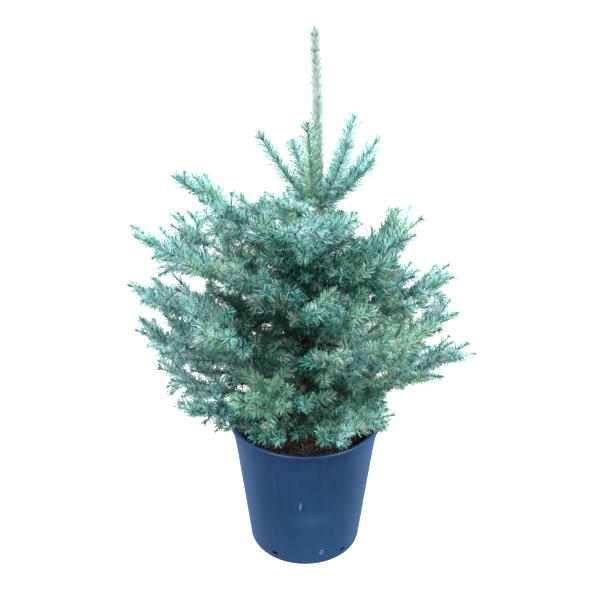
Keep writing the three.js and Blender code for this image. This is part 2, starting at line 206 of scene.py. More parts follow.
class Room:
    """The points that growth has taken so far, each with its owner and the thickness round it."""

    def __init__(self):
        self.points, self.owners, self.thick = np.empty((0, 3)), np.empty(0, int), np.empty(0)

    def claim(self, owner, points, thick):
        self.points = np.vstack([self.points, points])
        self.owners = np.append(self.owners, np.full(len(points), owner))
        self.thick = np.append(self.thick, np.full(len(points), float(thick)))

    def free(self, owner, points, room, share=1.0):
        rim = POT.height - SOIL_LEVEL
        in_pot = (np.hypot(points[:, 0], points[:, 1]) < POT.rim + room) & (points[:, 2] < rim + room)
        if in_pot.any():
            return False
        others = self.owners != owner
        gaps = np.linalg.norm(points[:, None] - self.points[others][None], axis=2)
        return bool((gaps > (room + self.thick[others][None]) * share).all())


def seen_at(points):
    """Where the camera sees points of the plant, in pixels."""
    x, y, z = (points - EYE).T
    x, y = x * math.cos(YAW) + y * math.sin(YAW), y * math.cos(YAW) - x * math.sin(YAW)
    away, above = y * math.cos(PITCH) - z * math.sin(PITCH), y * math.sin(PITCH) + z * math.cos(PITCH)
    return PICTURE / 2 + x * FOCAL / away, PICTURE / 2 - above * FOCAL / away


def seen_from(u, v, far):
    """The point that the camera sees at a pixel, in the upright plane this far behind the pot's axis."""
    right, above = (u - PICTURE / 2) / FOCAL, (PICTURE / 2 - v) / FOCAL
    ahead, rise = math.cos(PITCH) + above * math.sin(PITCH), above * math.cos(PITCH) - math.sin(PITCH)
    across = right * math.cos(YAW) - ahead * math.sin(YAW)
    ray = np.array([across, right * math.sin(YAW) + ahead * math.cos(YAW), rise])
    return EYE + ray * (far - EYE[1]) / ray[1]


def in_opening(points):
    u, v = seen_at(points)
    return any(((u > left) & (u < right) & (v > top) & (v < bottom)).any()
               for left, top, right, bottom in OPENINGS)


def points_along(curve, start, end):
    count = max(3, math.floor(np.linalg.norm(curve.at(end) - curve.at(start)) / POINT_STEP))
    return curve.at(np.linspace(start, end, count + 1))


class Bough:
    """A bough as planned: its curve from the trunk, and its own stream of numbers."""

    def __init__(self, order, whorl, label, azimuth, reach, rise, has_limb=False, below=0):
        self.order, self.whorl, self.label = order, whorl.name, label
        self.reach, self.has_limb = reach, has_limb
        self.draw = Stream(SEED.bough * order)
        height = whorl.height - below + whorl.spread * (2 * ((GOLDEN * label) % 1) - 1)
        level = level_heading(math.radians(azimuth))
        self.out = on_plane(level, unit(trunk_at(height + 1) - trunk_at(height - 1)))
        slope = math.radians(rise)
        root = trunk_at(height) + self.out * (trunk_radius(height) + CLEARANCE)
        tip = trunk_at(height) + level * reach * math.cos(slope) + UP * reach * math.sin(slope)
        self.curve = sagging(root, tip, LIMB.sag * reach)
        self.leaf_from = LIMB.share if has_limb else 0.0
        self.shoots, self.fine = [], []


class Shoot:
    """A shoot that has no solid of its own."""

    def __init__(self, order, height, curve):
        self.order, self.height, self.curve, self.fine = order, height, curve, []


def side_heading(curve, share, side, angle, lift, roll=0.0):
    tangent = curve.tangent(share)
    sideways = unit(np.cross(tangent, UP)) * side
    normal = np.cross(sideways, tangent) * side
    sideways, normal = (sideways * math.cos(roll) + normal * math.sin(roll),
                        normal * math.cos(roll) - sideways * math.sin(roll))
    return unit(tangent * math.cos(angle) + sideways * math.sin(angle) + normal * lift)


def grow_side_shoot(bough, share, side, room):
    """Grows one shoot from the bough's stem, drawn shorter until it has room."""
    draw = bough.draw
    angle = math.radians(draw(SIDE_SHOOT.least_angle, SIDE_SHOOT.most_angle))
    lift = draw(0, SIDE_SHOOT.lift)
    length = SIDE_SHOOT.per_remainder * bough.reach * (1 - share) + SIDE_SHOOT.least
    length += draw(0, SIDE_SHOOT.extra)
    root, heading = bough.curve.at(share), side_heading(bough.curve, share, side, angle, lift)
    while length >= SHOOT.shortest:
        shoot = rising(root, heading, length)
        points = points_along(shoot, 0, 1)
        if room.free(bough.order, points[1:], SHOOT.room):
            room.claim(bough.order, points, SHOOT.room)
            bough.shoots.append(shoot)
            return
        length *= SHOOT.shorter


def grow_fine_twigs(order, parent, start, draw, room):
    """The same rule once more, on any stem: short twigs to either side, rolled round the stem."""
    length = parent.length(start)
    count = int(length / FINE.spacing)
    grown = []
    for k in range(count):
        along = FINE.first + (FINE.last - FINE.first) * (k + draw(0.2, 0.8)) / count
        share = start + (1 - start) * along
        angle = math.radians(draw(FINE.least_angle, FINE.most_angle))
        roll = math.radians(draw(-FINE.roll, FINE.roll))
        size = FINE.per_remainder * length * (1 - along) + FINE.least + draw(0, FINE.extra)
        size = min(size, FINE.most, 0.9 * length * (1 - along) / math.cos(angle))
        heading = side_heading(parent, share, 1 if k % 2 else -1, angle, draw(0, FINE.lift), roll)
        root = parent.at(share)
        while size >= FINE.shortest:
            twig = rising(root, heading, size)
            points = points_along(twig, 0, 1)
            needled = np.vstack([points[1:], points[-1] + heading * FINE.past_tip])
            if not in_opening(needled) and room.free(order, points[1:], FINE.room, FINE.crowding):
                room.claim(order, points[1:], FINE.room)
                grown.append(twig)
                break
            size *= FINE.shorter
    return grown


def grow():
    """Every bough with its side shoots and fine twigs, then the shoots that have no solids."""
    room, boughs = Room(), []
    for whorl in WHORLS:
        for label, row in enumerate(whorl.boughs, 1):
            boughs.append(Bough(len(boughs) + 1, whorl, label, *row))
    for height in range(0, TRUNK.height, POINT_STEP):
        room.claim(0, trunk_at(height)[None], trunk_radius(height) * 2)
    for bough in boughs:
        room.claim(bough.order, points_along(bough.curve, 0, bough.leaf_from), LIMB.end * 2)
        room.claim(bough.order, points_along(bough.curve, bough.leaf_from, 1), SHOOT.room)
    branched = [bough for bough in boughs if bough.whorl != "top"]
    for bough in branched:
        count = min(SIDE_SHOOT.most, math.floor(bough.reach / SIDE_SHOOT.spacing + 0.5))
        for k in range(count):
            share = SIDE_SHOOT.first + (SIDE_SHOOT.last - SIDE_SHOOT.first) * k / max(1, count - 1)
            grow_side_shoot(bough, share, 1 if (k + bough.order) % 2 else -1, room)
    for bough in branched:
        draw = Stream(SEED.twigs * bough.order)
        bough.fine += grow_fine_twigs(bough.order, bough.curve, TWIGS_FROM.bough, draw, room)
        for shoot in bough.shoots:
            bough.fine += grow_fine_twigs(bough.order, shoot, TWIGS_FROM.side_shoot, draw, room)
    inner = grow_inner_shoots(room)
    return boughs, inner + grow_fillers(boughs, inner, room)


def grow_inner_shoots(room):
    """Shoots in a spiral up the trunk and at its back, where the boughs leave room for them."""
    shoots, draw = [], Stream(SEED.inner)

    def grow_shoot(order, height, azimuth, size):
        level = level_heading(azimuth)
        reach = (draw(0, size.extra) + size.least) * (1 - INNER.shorter * height / INNER.last)
        slope = math.radians(draw(INNER.least_rise, INNER.most_rise))
        root = trunk_at(height) + level * trunk_radius(height) * INNER.sunk
        tip = root + (level * math.cos(slope) + UP * math.sin(slope)) * reach
        shoot = Shoot(order, height, sagging(root, tip, INNER.sag * reach))
        points = points_along(shoot.curve, size.clear_of_trunk, 1)
        if not in_opening(points) and room.free(order, points, INNER.room, INNER.crowding):
            room.claim(order, points, FINE.room)
            shoot.fine = grow_fine_twigs(order, shoot.curve, TWIGS_FROM.inner, draw, room)
            shoots.append(shoot)

    for k, level in enumerate(range(INNER.first, INNER.last, INNER.spacing)):
        height = level + draw(0, INNER.uneven)
        azimuth = k * GOLDEN_ANGLE + draw(-INNER.turn, INNER.turn)
        grow_shoot(FIRST_ORDER.inner + k, height, azimuth, INNER)
    for k in range(BACK.count):
        height = BACK.first + (BACK.last - BACK.first) * (k + draw(0, 1)) / BACK.count
        azimuth = math.radians(BACK.from_angle + (BACK.to_angle - BACK.from_angle) * ((k * GOLDEN) % 1))
        grow_shoot(FIRST_ORDER.back + k, height, azimuth, BACK)
    return shoots


def grow_fillers(boughs, inner, room):
    """A shoot to each place that would be left open, from a stem near it and preferably outwards."""
    stems = [bough.curve for bough in boughs]
    stems += [shoot for bough in boughs for shoot in bough.shoots] + [shoot.curve for shoot in inner]
    draw, made = Stream(SEED.fillers), []
    for order, place in enumerate(FILLS, FIRST_ORDER.filler):
        target = seen_from(*place)
        points = np.vstack([stem.at(np.linspace(0.15, 0.85, 15)) for stem in stems])
        run = target - points
        reach = np.linalg.norm(run, axis=1)
        outward = unit((target - trunk_at(max(target[2], 0))) * (1, 1, 0))
        root = points[np.argmin(np.abs(reach - FILLER.reach) - FILLER.outward * (run @ outward) / reach)]
        tip = target + unit(target - root) * FILLER.past
        shoot = Shoot(order, tip[2], sagging(root, tip, FILLER.sag * np.linalg.norm(tip - root)))
        room.claim(order, points_along(shoot.curve, FILLER.clear_of_stem, 1), FINE.room)
        shoot.fine = grow_fine_twigs(order, shoot.curve, TWIGS_FROM.filler, draw, room)
        made.append(shoot)
        stems.append(shoot.curve)
    return made


# ---- Nodes and shader maths
def linear(colour):
    """A colour as Blender stores it, from the six digits that a colour picker shows."""
    parts = [int(colour[i:i + 2], 16) / 255 for i in (1, 3, 5)]
    return tuple(c / 12.92 if c <= 0.04045 else ((c + 0.055) / 1.055) ** 2.4 for c in parts) + (1.0,)


def add_node(tree, kind, values, output=0, **settings):
    """Adds a node with its settings and returns one of its outputs. Outputs among the values are linked."""
    made = tree.nodes.new(kind)
    for name, value in settings.items():
        if name == "stops":
            ramp = made.color_ramp
            while len(ramp.elements) < len(value):
                ramp.elements.new(0.5)
            for element, (place, colour) in zip(ramp.elements, value):
                element.position = place
                element.color = linear(colour) if isinstance(colour, str) else colour
        else:
            setattr(made, name, value)
    for name, value in values.items():
        fill_socket(tree, made.inputs[name], value)
    return made.outputs[output]


def fill_socket(tree, socket, value):
    """Links an output to a socket, or sets a plain value on it."""
    if isinstance(value, Field):
        value = value.socket
    if isinstance(value, bpy.types.NodeSocket):
        tree.links.new(value, socket)
    else:
        socket.default_value = value


class Field:
    """A node's output. Arithmetic on it adds Math nodes."""

    def __init__(self, finish, socket):
        self.finish, self.socket = finish, socket

    def _math(self, operation, *values):
        return self.finish.node("ShaderNodeMath", dict(enumerate(values)), operation=operation)

    def __add__(self, other):
        return self._math("ADD", self, other)

    def __rsub__(self, other):
        return self._math("SUBTRACT", other, self)

    def __mul__(self, other):
        return self._math("MULTIPLY", self, other)

    def __pow__(self, other):
        return self._math("POWER", self, other)

    __radd__, __rmul__ = __add__, __mul__

    def clamp(self):
        return self.finish.node("ShaderNodeClamp", {0: self})

    def between(self, low, high):
        """0 at low and 1 at high, held outside them."""
        return self.finish.node("ShaderNodeMapRange", {0: self, 1: low, 2: high, 3: 0.0, 4: 1.0})


class Finish:
    """A material, with its node tree."""

    def __init__(self, name, colour, roughness=0.5, specular=0.5):
        self.material = bpy.data.materials.new(name)
        self.material.use_nodes = True
        self.tree = self.material.node_tree
        self.shader = self.tree.nodes["Principled BSDF"]
        self.set(**{"Base Color": linear(colour), "Roughness": roughness, "Specular IOR Level": specular})
        self.material.diffuse_color = linear(colour)

    def set(self, **values):
        for name, value in values.items():
            fill_socket(self.tree, self.shader.inputs[name], value)

    def node(self, kind, values, output=0, **settings):
        return Field(self, add_node(self.tree, kind, values, output, **settings))

    def place(self):
        """Object coordinates, in metres."""
        return self.node("ShaderNodeTexCoord", {}, "Object")

    def stretched(self, scale, turn=(0, 0, 0)):
        return self.node("ShaderNodeMapping", {"Vector": self.place(), "Scale": scale, "Rotation": turn})

    def place_on(self, axis):
        return self.node("ShaderNodeSeparateXYZ", {0: self.place()}, axis)

    def vector(self, operation, first, second=(0, 0, 0), output=0):
        return self.node("ShaderNodeVectorMath", {0: first, 1: second}, output, operation=operation)

    def noise(self, where, scale, detail=3.0, roughness=0.5, distortion=0.0):
        return self.node("ShaderNodeTexNoise", {
            "Vector": where, "Scale": scale, "Detail": detail, "Roughness": roughness,
            "Distortion": distortion})

    def cells(self, where, scale, feature="F1"):
        return self.node("ShaderNodeTexVoronoi", {"Vector": where, "Scale": scale}, feature=feature)

    def mix(self, factor, first, second):
        first, second = (linear(c) if isinstance(c, str) else c for c in (first, second))
        return self.node("ShaderNodeMix", {0: factor, 6: first, 7: second}, 2, data_type="RGBA")

    def ramp(self, factor, *stops):
        return self.node("ShaderNodeValToRGB", {0: factor}, stops=stops)

    def spot(self, middle, size):
        """1 at a place, fading to 0 at the size given from it."""
        off = self.vector("DIVIDE", self.vector("SUBTRACT", self.place(), middle), size)
        return 1 - self.vector("LENGTH", off, output=1).between(0.25, 1.0)

    def bump(self, height, strength, distance):
        self.set(Normal=self.node("ShaderNodeBump", {
            "Strength": strength, "Distance": distance, "Height": height}))


# ---- Meshes
def mesh_piece(name, corners, faces, finish):
    """A smooth mesh object from corners in millimetres and faces as rows of corner numbers."""
    mesh = bpy.data.meshes.new(name)
    mesh.from_pydata((np.asarray(corners, float) * MM).tolist(), [], [list(face) for face in faces])
    return finish_mesh(mesh, name, [finish])


def finish_mesh(mesh, name, materials, slots=None, smooth=True):
    for material in materials:
        mesh.materials.append(material)
    mesh.polygons.foreach_set("use_smooth", [smooth] * len(mesh.polygons))
    if slots is not None:
        mesh.polygons.foreach_set("material_index", slots)
    mesh.update()
    return placed(name, mesh)


def placed(name, data):
    made = bpy.data.objects.new(name, data)
    bpy.context.scene.collection.objects.link(made)
    return made


def wear(piece, slot, *nodes):
    """The piece rides with the part and stands for some of its solids. Its slot is not used."""
    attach(piece, "root")
    if nodes:
        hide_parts(*nodes)


def axes_about(direction):
    """Two axes square to each direction in an array."""
    reference = np.where(np.abs(direction[:, 2:]) > 0.96, np.array([[1.0, 0, 0]]), UP[None])
    across = np.cross(reference, direction)
    across /= np.linalg.norm(across, axis=1, keepdims=True)
    return across, np.cross(direction, across)


def circle(sides):
    """The cosine and sine of evenly spaced angles."""
    return [(math.cos(2 * math.pi * k / sides), math.sin(2 * math.pi * k / sides)) for k in range(sides)]


def ring_faces(rows, sides, first=0, inward=False):
    """Four-sided faces between rings of corners, which are numbered from the first."""
    faces = []
    for row in range(rows - 1):
        for side in range(sides):
            a, b = (first + row * sides + k % sides for k in (side, side + 1))
            faces.append((a, a + sides, b + sides, b) if inward else (a, b, b + sides, a + sides))
    return faces


def rounded(rows, steps=4):
    """A profile with each corner cut back by the third number of its row and rounded."""
    points = [np.array(row[:2], float) for row in rows]
    made = [points[0]]
    for before, here, after, (_, _, size) in zip(points, points[1:], points[2:], rows[1:]):
        if size == 0:
            made.append(here)
            continue
        start, end = here + unit(before - here) * size, here + unit(after - here) * size
        for t in np.linspace(0, 1, steps + 1):
            made.append((1 - t) ** 2 * start + 2 * t * (1 - t) * here + t * t * end)
    return made + [points[-1]]


# ---- The pot
SILL, HEAD = DRAIN.above - DRAIN.height / 2, DRAIN.above + DRAIN.height / 2
BESIDE = 1.5  # from a drain hole's sill or head to the next row, which keeps the wall's shading even


def pot_profile():
    """The pot's outline from the middle of the underside, up the outside, over the lip and down to the floor.
    The two rows at the drain holes' sills and heads come on both sides of the wall."""
    collar, lip = POT.height - POT.collar_depth, POT.height - POT.lip

    def wall_at(height, thickness=0):
        slope = (POT.under_collar - POT.base) / (collar - POT.base_corner)
        return POT.base + slope * (height - POT.base_corner) - thickness, height

    outside = rounded([
        (0.01, 0, 0), (POT.base - 9, 0, 1), (POT.base - 7, 1.2, 1), (POT.base - 5, 0, 1),
        (POT.base - 1, 0, 1.5), (POT.base, 4, 1.5), (*wall_at(SILL - BESIDE), 0), (*wall_at(SILL), 0),
        (*wall_at(HEAD), 0), (*wall_at(HEAD + BESIDE), 0), (*wall_at(120), 0), (*wall_at(collar - 26), 14),
        (POT.collar - 1.4, collar + 5, 9), (POT.collar, lip - 5, 2), (POT.collar + 1, lip - 1.5, 1),
        (POT.rim - 0.6, lip, 2), (POT.rim, POT.height - 3, 2), (POT.rim - 2.5, POT.height, 1.5),
        (POT.collar - 1.2, POT.height - 0.4, 1.5), (POT.collar - POT.wall, POT.height - 5, 0)])
    bottom = POT.base - POT.wall
    inside = [wall_at(collar, POT.wall - 1)] + [wall_at(height, POT.wall) for height in (120, HEAD, SILL)]
    inside += [(bottom, POT.floor + 2), (bottom - 3, POT.floor), (0.01, POT.floor)]
    return [tuple(point) for point in outside] + inside


def build_pot(finish):
    """The wall turned from its profile, with its drain holes left out and lined."""
    segments, profile = 180, pot_profile()
    rows = len(profile)
    angles = np.arange(segments) * 2 * math.pi / segments
    radius, height = np.array(profile, float).T
    corners = np.stack([radius[:, None] * np.cos(angles), radius[:, None] * np.sin(angles),
                        np.repeat(height[:, None], segments, 1)], 2)
    sills, heads = ([row for row in range(rows) if abs(height[row] - edge) < 1e-6] for edge in (SILL, HEAD))
    out_sill, in_sill, out_head, in_head = sills[0], sills[-1], heads[0], heads[-1]
    wide = round(DRAIN.width / POT.base / (2 * math.pi) * segments)
    holes = set()
    for k in range(DRAIN.count):
        middle = (DRAIN.first_angle + 360 * k / DRAIN.count) / 360 * segments
        holes.update((round(middle - wide / 2) + j) % segments for j in range(wide))

    def corner(row, segment):
        return row * segments + segment % segments

    def strip(low, high, segment):
        after = segment + 1
        return corner(low, segment), corner(low, after), corner(high, after), corner(high, segment)

    faces = [strip(row, row + 1, s) for row in range(rows - 1) for s in range(segments)
             if row not in (out_sill, in_head) or s not in holes]
    for s in holes:
        faces += [strip(out_sill, in_sill, s), strip(in_head, out_head, s)]
        if (s - 1) % segments not in holes:
            faces.append([corner(row, s) for row in (out_sill, in_sill, in_head, out_head)])
        if (s + 1) % segments not in holes:
            faces.append([corner(row, s + 1) for row in (out_sill, out_head, in_head, in_sill)])
    faces.append([corner(0, s) for s in range(segments)][::-1])
    faces.append([corner(rows - 1, s) for s in range(segments)])
    return mesh_piece("pot_shell", corners.reshape(-1, 3), faces, finish)


def pot_plastic():
    """Dark blue plastic with streaks, scuffs, dust and a few marks. Painted light from below makes it paler
    low down, and painted reflections make it paler at its sides and in the streaks.
    """
    finish = Finish("pot_plastic", "#10355e", 0.4, 0.42)
    here, height = finish.place(), finish.place_on(2)
    cloud = finish.noise(here, 9, 4, 0.55)
    # Vertical streaks of painted reflection, slightly paler on the wall
    streaks = finish.noise(finish.stretched((60, 60, 3)), 1.6, 3, 0.6)
    scuffs = finish.noise(finish.stretched((38, 38, 9), (0.3, 0.2, 0.5)), 2.6, 5, 0.75, 0.6)
    scuffs = scuffs.between(0.62, 0.76)
    dust = ((1 - height.between(0.0, 0.06)) * finish.noise(here, 40, 4).between(0.4, 0.75)).clamp()
    # Painted reflection: the pot is paler towards its left and right sides, as seen from the front
    sides = (finish.place_on(0) ** 2).between(0.006, 0.018)
    rub = finish.spot((-0.0085, -0.129, 0.155), (0.0028, 0.02, 0.014))
    smear = finish.spot((0.006, -0.124, 0.118), (0.05, 0.03, 0.026))
    grit = finish.spot((0.0327, -0.111, 0.029), (0.006, 0.02, 0.009))
    base = finish.mix(cloud.between(0.35, 0.7), "#04284c", "#083362")
    # Painted light from below makes the pot paler low down; painted reflections make it paler at its sides
    # and in streaks
    for amount, colour in (
            ((1 - height.between(0.0, 0.26)) * 0.6, "#194878"), (streaks.between(0.45, 0.8) * 0.3, "#1b4a7b"),
            (sides * 0.55, "#3a76b6"), (scuffs * 0.16, "#5f84ab"), (dust * 0.16, "#64788c"),
            (rub * 0.45, "#8fb0d0"), (smear * cloud * 0.2, "#4f83ab"),
            (grit * finish.noise(here, 420, 3, 0.6).between(0.5, 0.62), "#c3ccd4")):
        base = finish.mix(amount, base, colour)
    finish.set(**{"Base Color": base, "Roughness": 0.3 + cloud * 0.12 + scuffs * 0.2 + dust * 0.25})
    finish.bump(finish.noise(here, 900, 2) * 0.35 + cloud * 2.0 + scuffs * 0.3, 0.18, 0.0006)
    return finish.material


# ---- The soil
SOIL_GAP = 1.2  # from the wall, so that the rough soil stays clear of it
LITTER = Sizes(reach=118, steps=40, above=0.8)


def soil_surface(x, y):
    """The height of the soil's surface, in millimetres above the pot's underside."""
    far = math.hypot(x, y) / 130
    lump = noise.fractal(Vector((x * 0.045, y * 0.045, 3.1)), 0.7, 2.1, 5) * 2.0
    return SOIL_LEVEL - 1.6 - SOIL_DOME * far * far * 0.9 + lump


def build_soil(finish):
    segments, rings = 150, 46
    bottom = POT.base - POT.wall - SOIL_GAP
    wall_height = POT.height - POT.collar_depth - POT.floor
    edge = bottom + (POT.under_collar - POT.base) * (SOIL_LEVEL - SOIL_DOME) / wall_height
    corners = [(0, 0, soil_surface(0, 0))]
    for k in range(1, rings + 1):
        radius = edge * k / rings
        ring = [(radius * x, radius * y) for x, y in circle(segments)]
        corners += [(x, y, soil_surface(x, y)) for x, y in ring]
    for radius in (bottom, 0.01):
        corners += [(radius * x, radius * y, POT.floor + CLEARANCE) for x, y in circle(segments)]
    faces = [(0, 1 + s, 1 + (s + 1) % segments) for s in range(segments)]
    faces += ring_faces(rings + 2, segments, 1, inward=True)
    faces.append([len(corners) - segments + s for s in range(segments)][::-1])
    return mesh_piece("soil_bed", corners, faces, finish)


def potting_soil():
    finish = Finish("potting_soil", "#2a211e", 0.95, 0.2)
    here = finish.place()
    crumbs, damp = finish.noise(here, 260, 6, 0.7), finish.noise(here, 14, 3)
    base = finish.ramp(crumbs, (0.3, "#0e0e12"), (0.5, "#1e1b20"), (0.62, "#2f292b"), (0.78, "#4e4541"))
    finish.set(**{"Base Color": finish.mix(damp.between(0.4, 0.65) * 0.5, base, "#191417")})
    finish.bump(crumbs + finish.cells(here, 190) * 0.6, 0.9, 0.003)
    return finish.material


class Tree:
    """A Geometry Nodes tree with named inputs, which ends in Realize Instances and Set Material."""

    def __init__(self, name, **kinds):
        self.group = bpy.data.node_groups.new(name, "GeometryNodeTree")
        face = self.group.interface
        for label, kind in {"Geometry": "Geometry", **kinds}.items():
            face.new_socket(label, in_out="INPUT", socket_type="NodeSocket" + kind)
        face.new_socket("Geometry", in_out="OUTPUT", socket_type="NodeSocketGeometry")
        self.given = self.group.nodes.new("NodeGroupInput").outputs

    def add(self, kind, values, output=0, **settings):
        return add_node(self.group, kind, values, output, **settings)

    def finished(self, geometry, material):
        real = self.add("GeometryNodeRealizeInstances", {0: geometry})
        painted = self.add("GeometryNodeSetMaterial", {0: real, "Material": material})
        self.group.links.new(painted, self.group.nodes.new("NodeGroupOutput").inputs[0])
        return self.group

    def set_on(self, points, shape, turn, scale):
        """The object that an input names, on every point."""
        shape = self.add("GeometryNodeObjectInfo", {"Object": shape}, "Geometry")
        return self.add("GeometryNodeInstanceOnPoints", {
            "Points": points, "Instance": shape, "Rotation": turn, "Scale": scale})


def strewing_tree(name, seed, material):
    """Geometry Nodes that strew small shapes over a surface and lie them nearly flat on it."""
    tree = Tree(name, Shape="Object", Density="Float", Smallest="Float", Largest="Float", Tilt="Float")
    given, add = tree.given, tree.add
    points = add("GeometryNodeDistributePointsOnFaces", {
        "Mesh": given["Geometry"], "Density": given["Density"], "Seed": seed})
    tilt = add("ShaderNodeCombineXYZ", {0: given["Tilt"], 1: given["Tilt"], 2: 2 * math.pi})
    turn = add("FunctionNodeRandomValue", {1: tilt, "Seed": seed + 1}, data_type="FLOAT_VECTOR")
    size = add("FunctionNodeRandomValue", {2: given["Smallest"], 3: given["Largest"], "Seed": seed + 2}, 1)
    return tree.finished(tree.set_on(points, given["Shape"], turn, size), material)


def grown_piece(name, start, group, values, finish, smooth=False):
    """The mesh that a Geometry Nodes tree makes from a start object, as a plain piece."""
    modifier = start.modifiers.new(group.name, "NODES")
    modifier.node_group = group
    for item in group.interface.items_tree:
        if item.in_out == "INPUT" and item.name in values:
            modifier[item.identifier] = values[item.name]
    graph = bpy.context.evaluated_depsgraph_get()
    graph.update()
    mesh = bpy.data.meshes.new_from_object(start.evaluated_get(graph))
    start.modifiers.remove(modifier)
    mesh.name = name
    mesh.materials.clear()
    return finish_mesh(mesh, name, [finish], smooth=smooth)


def start_shape(name, corners, faces):
    """A start shape for Geometry Nodes, or the floor, in metres."""
    mesh = bpy.data.meshes.new(name)
    mesh.from_pydata([tuple(c) for c in corners], [], faces)
    return placed(name, mesh)


def chip_shape():
    """A flake of bark, one unit long."""
    ring = [(x * (0.5 if k % 2 else 0.4), y * 0.26) for k, (x, y) in enumerate(circle(6))]
    corners = [(x, y, -0.07) for x, y in ring] + [(x * 0.8 + 0.03, y * 0.8, 0.09) for x, y in ring]
    return corners, [tuple(range(5, -1, -1)), tuple(range(6, 12))] + ring_faces(2, 6)


def needle_shape():
    """A fallen needle, one unit long."""
    corners = [(-0.5, 0, 0), (-0.1, 0.045, 0), (-0.1, -0.02, 0.04), (-0.1, -0.02, -0.04), (0.5, 0.02, 0)]
    return corners, [(0, 1, 2), (0, 2, 3), (0, 3, 1), (4, 2, 1), (4, 3, 2), (4, 1, 3)]


def litter_patch():
    """The ground just above the soil's surface that the litter is strewn over."""
    steps, corners, faces = LITTER.steps, [], []
    for i in range(steps + 1):
        for j in range(steps + 1):
            x, y = ((2 * k / steps - 1) * LITTER.reach for k in (i, j))
            corners.append((x * MM, y * MM, (soil_surface(x, y) + LITTER.above) * MM))
            far = math.hypot(*((2 * (k + 0.5) / steps - 1) * LITTER.reach for k in (i, j)))
            if i < steps and j < steps and far < LITTER.reach:
                a = i * (steps + 1) + j
                faces.append((a, a + steps + 1, a + steps + 2, a + 1))
    return start_shape("litter_patch", corners, faces)


def build_litter():
    """Chips of bark, dusty bits and fallen needles on the soil. A row is the piece's name, shape and finish,
    its seed and count per square metre, its smallest and largest in metres, and how far it may tip."""
    chip, patch = chip_shape(), litter_patch()
    dark, pale = bark("dark_chips", "#1d191b", "#3a302d"), bark("pale_chips", "#473e3a", "#776b62")
    dusty = Finish("dusty_bits", "#b7b0a6", 0.9, 0.2).material
    dry = bark("dry_needles", "#6b4a35", "#a2815f")
    for name, shape, finish, seed, density, smallest, largest, tilt in (
            ("soil_chips_1", chip, dark, 11, 26000, 0.004, 0.012, 0.5),
            ("soil_chips_2", chip, pale, 18, 3800, 0.004, 0.013, 0.5),
            ("soil_chips_3", chip, dusty, 25, 2400, 0.002, 0.005, 0.5),
            ("fallen_needles", needle_shape(), dry, 71, 16000, 0.011, 0.019, 0.35)):
        start = start_shape(name + "_shape", *shape)
        values = {"Shape": start, "Density": density, "Smallest": smallest, "Largest": largest, "Tilt": tilt}
        wear(grown_piece(name, patch, strewing_tree("strew_" + name, seed, finish), values, finish), "soil")
        bpy.data.objects.remove(start)
    bpy.data.objects.remove(patch)


# ---- Bark
# How the trunk swells at its four upper whorls, and what the boughs' own stems have beyond LIMB's sizes
SWELL = Sizes(whorls=4, rise=0.7, width=9)
STEM = Sizes(root=3.3, tip=1.0, sunk=1.6, collar=1.18, flare=0.12, flare_fade=30)


def swept(points, radii, sides, relief, seed=0.0):
    """A closed tube through points, with lumps in its surface. Returns corners and faces."""
    tangents = np.gradient(points, axis=0)
    tangents /= np.linalg.norm(tangents, axis=1, keepdims=True)
    corners = []
    for point, radius, across, over in zip(points, radii, *axes_about(tangents)):
        for x, y in circle(sides):
            out = across * x + over * y
            where = (point + out * radius) * (0.22, 0.22, 0.06) + (0, 0, seed)
            corners.append(point + out * radius * (1 + relief * noise.fractal(Vector(where), 0.6, 2.2, 4)))
    ends = [tuple(range(sides))[::-1], tuple(range(len(corners) - sides, len(corners)))]
    return np.array(corners), ring_faces(len(points), sides) + ends


def joined(parts):
    """Several corners and faces as one."""
    corners, faces, start = [], [], 0
    for these, rows in parts:
        corners.append(these)
        faces += [tuple(start + i for i in row) for row in rows]
        start += len(these)
    return np.vstack(corners), faces


def lifted(points):
    """From the plant's frame to the part's."""
    return points + UP * SOIL_LEVEL


def build_trunk(finish):
    """The plant's stem, from just under the soil's surface to its tip."""
    heights = np.concatenate([np.linspace(-6, 60, 26), np.linspace(63, TRUNK.height, 190)])
    swell = sum(np.exp(-((heights - whorl.height) / SWELL.width) ** 2) for whorl in WHORLS[:SWELL.whorls])
    radii = [trunk_radius(max(height, 0)) for height in heights] + swell * SWELL.rise
    radii[-1] *= 0.4
    points = np.array([trunk_at(height) for height in heights])
    return mesh_piece("trunk_bark", *swept(lifted(points), radii, 26, 0.16), finish)


def build_boughs(finish, boughs):
    """The boughs' own stems, each with a collar where it leaves the trunk."""
    parts, shares = [], np.linspace(0, 1, 34)
    for bough in boughs:
        root = LIMB.radius + LIMB.per_reach * bough.reach if bough.has_limb else STEM.root
        radii = np.interp(shares, (0, LIMB.share, 1), (root, min(LIMB.end, root), STEM.tip))
        radii *= 1 + STEM.flare * np.exp(-shares * STEM.flare_fade)
        radii = np.append(root * STEM.collar, radii)
        stem = bough.curve.at(shares)
        points = np.vstack([stem[0] - bough.out * STEM.sunk, stem])
        parts.append(swept(lifted(points), radii, 9, 0.14, bough.order * 3.7))
    return mesh_piece("bough_bark", *joined(parts), finish)


def trunk_bark():
    finish = Finish("trunk_bark", "#7d6c5f", 0.88, 0.3)
    plates = finish.cells(finish.stretched((1, 1, 0.25)), 330, "DISTANCE_TO_EDGE")
    grain = finish.noise(finish.stretched((1, 1, 0.12)), 520, 5, 0.7)
    patches = finish.noise(finish.place(), 60, 4)
    # Dark grey-brown up to 0.6 m, partly the old bark's own colour and partly painted shade inside the crown;
    # paler above 0.7 m
    base = finish.ramp(grain, (0.3, "#1b1f1e"), (0.48, "#2f312e"), (0.66, "#57544b"))
    base = finish.mix(patches.between(0.45, 0.7) * 0.4, base, "#6c6b64")
    base = finish.mix(finish.place_on(2).between(0.6, 0.7), base, "#a5a396")
    finish.set(**{"Base Color": base, "Roughness": 0.75 + patches * 0.2})
    finish.bump(grain + plates.between(0, 0.25) * 0.8, 0.7, 0.0012)
    return finish.material


